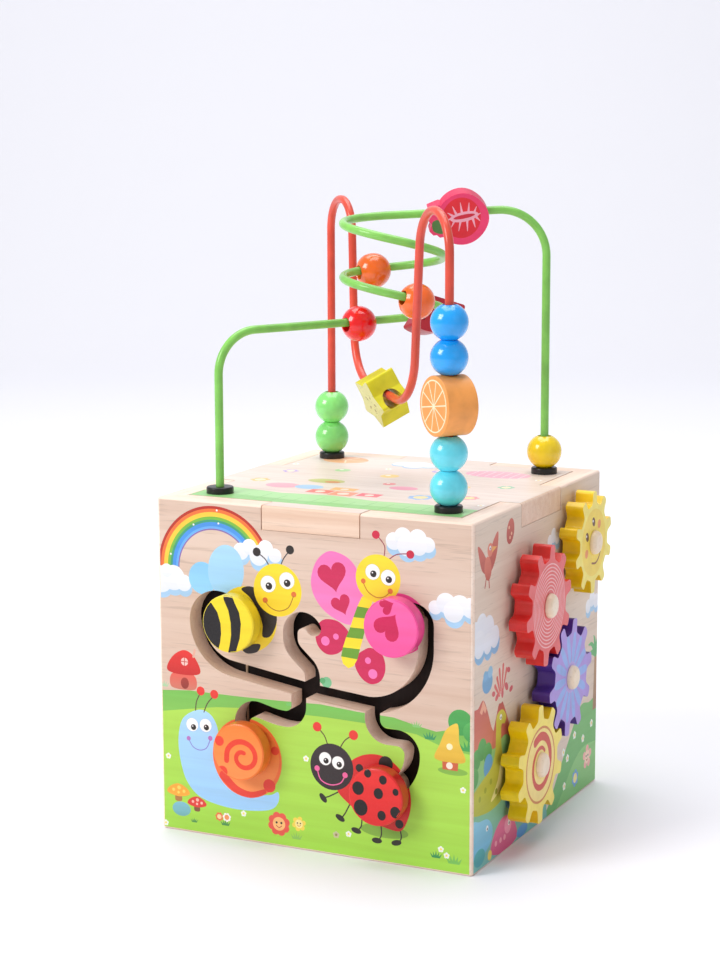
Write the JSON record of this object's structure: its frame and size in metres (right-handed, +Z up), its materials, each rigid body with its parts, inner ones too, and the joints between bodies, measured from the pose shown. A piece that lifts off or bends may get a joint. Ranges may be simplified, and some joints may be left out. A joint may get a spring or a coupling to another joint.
{
  "type": "wooden activity cube",
  "caption": "Wooden baby activity cube: a printed box with a bead maze on its lift-off lid, a slider maze, turning gears, a clock with hands and a shape sorter.",
  "frame": {"origin": "centre of the box's underside, level with what it stands on", "axes": "+Z up, -Y out of the slider-maze wall, +X out of the gear wall, +Y out of the clock wall"},
  "size_m": [0.2179, 0.2296, 0.3745],
  "materials": {
    "wall_front": "printed, satin lacquer",
    "wall_right": "printed, satin lacquer",
    "wall_back": "printed, satin lacquer",
    "wall_left": "printed, satin lacquer",
    "base_wood": "plain plywood",
    "backing_dark": "dark stained fibreboard",
    "batten_wood": "plain wood",
    "screw_steel": "zinc plated",
    "pin_wood": "turned beech, clear lacquer",
    "washer_plastic": "matt nylon",
    "lid_wood": "printed, satin lacquer",
    "grommet_black": "semi-gloss black plastic",
    "wire_green_paint": "gloss plastic-coated steel",
    "wire_red_paint": "gloss plastic-coated steel",
    "bead_green": "gloss paint",
    "bead_teal": "gloss paint",
    "bead_blue": "gloss paint",
    "bead_yellow": "gloss paint",
    "bead_red": "gloss paint",
    "bead_orange": "gloss paint",
    "fruit_orange": "satin paint with print",
    "fruit_star": "satin paint with print",
    "fruit_strawberry": "satin paint with print",
    "fruit_watermelon": "satin paint with print",
    "gear_sun_paint": "printed face, satin",
    "gear_red_paint": "printed face, satin",
    "gear_purple_paint": "printed face, satin",
    "gear_yellow_paint": "printed face, satin",
    "knob_bee": "printed face, satin",
    "knob_butterfly": "printed face, satin",
    "knob_snail": "printed face, satin",
    "knob_ladybug": "printed face, satin",
    "stem_wood": "plain beech",
    "hand_hour_paint": "satin paint",
    "hand_minute_paint": "satin paint"
  },
  "bodies": {
    "box": {"front_panel": "wall_front", "right_panel": "wall_right", "back_panel": "wall_back", "left_panel": "wall_left", "base_panel": "base_wood", "base_cleats": "base_wood", "base_screws": "screw_steel", "maze_spacers": "base_wood", "maze_backing_left": "backing_dark", "maze_backing_right": "backing_dark", "maze_batten": "batten_wood", "backing_screws": "screw_steel", "gear_axles": "pin_wood", "gear_washers": "washer_plastic", "clock_pin": "pin_wood", "clock_washer": "washer_plastic", "hand_washer": "washer_plastic"},
    "lid": {"lid": "lid_wood", "grommets": "grommet_black", "wire_nuts": "screw_steel", "green_wire": "wire_green_paint", "red_wire": "wire_red_paint"},
    "bead_blue_high": {"bead_blue_high": "bead_blue"},
    "bead_blue_low": {"bead_blue_low": "bead_blue"},
    "bead_green_high": {"bead_green_high": "bead_green"},
    "bead_green_low": {"bead_green_low": "bead_green"},
    "bead_orange_high": {"bead_orange_high": "bead_orange"},
    "bead_orange_low": {"bead_orange_low": "bead_orange"},
    "bead_red": {"bead_red": "bead_red"},
    "bead_teal_high": {"bead_teal_high": "bead_teal"},
    "bead_teal_low": {"bead_teal_low": "bead_teal"},
    "bead_yellow": {"bead_yellow": "bead_yellow"},
    "gear_purple": {"gear_purple": "gear_purple_paint"},
    "gear_red": {"gear_red": "gear_red_paint"},
    "gear_sun": {"gear_sun": "gear_sun_paint"},
    "gear_yellow": {"gear_yellow": "gear_yellow_paint"},
    "hour_hand": {"hour_hand": "hand_hour_paint"},
    "minute_hand": {"minute_hand": "hand_minute_paint"},
    "orange_slice": {"orange_slice": "fruit_orange"},
    "star_fruit": {"star_fruit": "fruit_star"},
    "strawberry": {"strawberry": "fruit_strawberry"},
    "watermelon": {"watermelon": "fruit_watermelon"},
    "bee_slider": {"bee_knob": "knob_bee", "bee_stem": "stem_wood", "bee_retainer": "stem_wood"},
    "butterfly_slider": {"butterfly_knob": "knob_butterfly", "butterfly_stem": "stem_wood", "butterfly_retainer": "stem_wood"},
    "snail_slider": {"snail_knob": "knob_snail", "snail_stem": "stem_wood", "snail_retainer": "stem_wood"},
    "ladybug_slider": {"ladybug_knob": "knob_ladybug", "ladybug_stem": "stem_wood", "ladybug_retainer": "stem_wood"}
  },
  "joints": [
    {"name": "lid_lift", "type": "slide", "parent": "box", "child": "lid", "axis": [0, 0, 1], "range_m": [0, 0.06]},
    {"name": "green_low_slide", "type": "slide", "parent": "lid", "child": "bead_green_low", "axis": [0, 0, 1], "range_m": [0, 0.05]},
    {"name": "green_high_slide", "type": "slide", "parent": "bead_green_low", "child": "bead_green_high", "axis": [0, 0, 1], "range_m": [0, 0.05]},
    {"name": "teal_low_slide", "type": "slide", "parent": "lid", "child": "bead_teal_low", "axis": [0, 0, 1], "range_m": [0, 0.005]},
    {"name": "teal_high_slide", "type": "slide", "parent": "bead_teal_low", "child": "bead_teal_high", "axis": [0, 0, 1], "range_m": [0, 0.005]},
    {"name": "orange_slice_slide", "type": "slide", "parent": "bead_teal_high", "child": "orange_slice", "axis": [0, 0, 1], "range_m": [0, 0.005]},
    {"name": "blue_low_slide", "type": "slide", "parent": "orange_slice", "child": "bead_blue_low", "axis": [0, 0, 1], "range_m": [0, 0.006]},
    {"name": "blue_high_slide", "type": "slide", "parent": "bead_blue_low", "child": "bead_blue_high", "axis": [0, 0, 1], "range_m": [0, 0.006]},
    {"name": "yellow_slide", "type": "slide", "parent": "lid", "child": "bead_yellow", "axis": [0, 0, 1], "range_m": [0, 0.105]},
    {"name": "red_bead_slide", "type": "slide", "parent": "lid", "child": "bead_red", "axis": [-0.4965, -0.868, -0.0072], "range_m": [0, 0.055]},
    {"name": "orange_high_spin", "type": "hinge", "parent": "lid", "child": "bead_orange_high", "pos_m": [-0.01813, 0.02045, 0.32525], "axis": [0.6423, 0.7627, 0.0754], "continuous": true},
    {"name": "orange_low_spin", "type": "hinge", "parent": "lid", "child": "bead_orange_low", "pos_m": [0.02699, -0.01531, 0.31114], "axis": [-0.5773, -0.7746, 0.2583], "continuous": true},
    {"name": "star_fruit_spin", "type": "hinge", "parent": "lid", "child": "star_fruit", "pos_m": [-0.00293, 0.00293, 0.25235], "axis": [0.7484, -0.6618, -0.0445], "continuous": true},
    {"name": "strawberry_slide", "type": "slide", "parent": "lid", "child": "strawberry", "axis": [0.878, 0.4769, 0.0404], "range_m": [-0.01, 0.004]},
    {"name": "watermelon_spin", "type": "hinge", "parent": "lid", "child": "watermelon", "pos_m": [0.02222, 0.02412, 0.29977], "axis": [0.7557, -0.623, 0.2018], "continuous": true},
    {"name": "gear_purple_spin", "type": "hinge", "parent": "box", "child": "gear_purple", "pos_m": [0.1085, 0.015, 0.089], "axis": [1, 0, 0], "continuous": true},
    {"name": "gear_red_spin", "type": "hinge", "parent": "box", "child": "gear_red", "pos_m": [0.1085, -0.022, 0.13999], "axis": [1, 0, 0], "continuous": true},
    {"name": "gear_yellow_spin", "type": "hinge", "parent": "box", "child": "gear_yellow", "pos_m": [0.1085, -0.03319, 0.04842], "axis": [1, 0, 0], "continuous": true},
    {"name": "gear_sun_spin", "type": "hinge", "parent": "box", "child": "gear_sun", "pos_m": [0.1085, 0.051, 0.164], "axis": [1, 0, 0], "continuous": true},
    {"name": "hour_hand_turn", "type": "hinge", "parent": "box", "child": "hour_hand", "pos_m": [0, 0.105, 0.1], "axis": [0, -1, 0], "continuous": true},
    {"name": "minute_hand_turn", "type": "hinge", "parent": "box", "child": "minute_hand", "pos_m": [0, 0.1117, 0.1], "axis": [0, -1, 0], "continuous": true},
    {"name": "bee_travel", "type": "hinge", "parent": "box", "child": "bee_slider", "pos_m": [-0.0605, -0.1, 0.1295], "axis": [0, -1, 0], "range_deg": [0, 165]},
    {"name": "butterfly_travel", "type": "hinge", "parent": "box", "child": "butterfly_slider", "pos_m": [0.0636, -0.1, 0.14], "axis": [0, 1, 0], "range_deg": [0, 175]},
    {"name": "ladybug_travel", "type": "hinge", "parent": "box", "child": "ladybug_slider", "pos_m": [0.0395, -0.1, 0.065], "axis": [0, -1, 0], "range_deg": [0, 72]},
    {"name": "snail_travel", "type": "slide", "parent": "box", "child": "snail_slider", "axis": [-0.2756, 0, 0.9613], "range_m": [0, 0.012]}
  ],
  "couplings": [
    {"joint": "gear_red_spin", "follows": "gear_purple_spin", "ratio": -1},
    {"joint": "gear_yellow_spin", "follows": "gear_purple_spin", "ratio": -1}
  ]
}
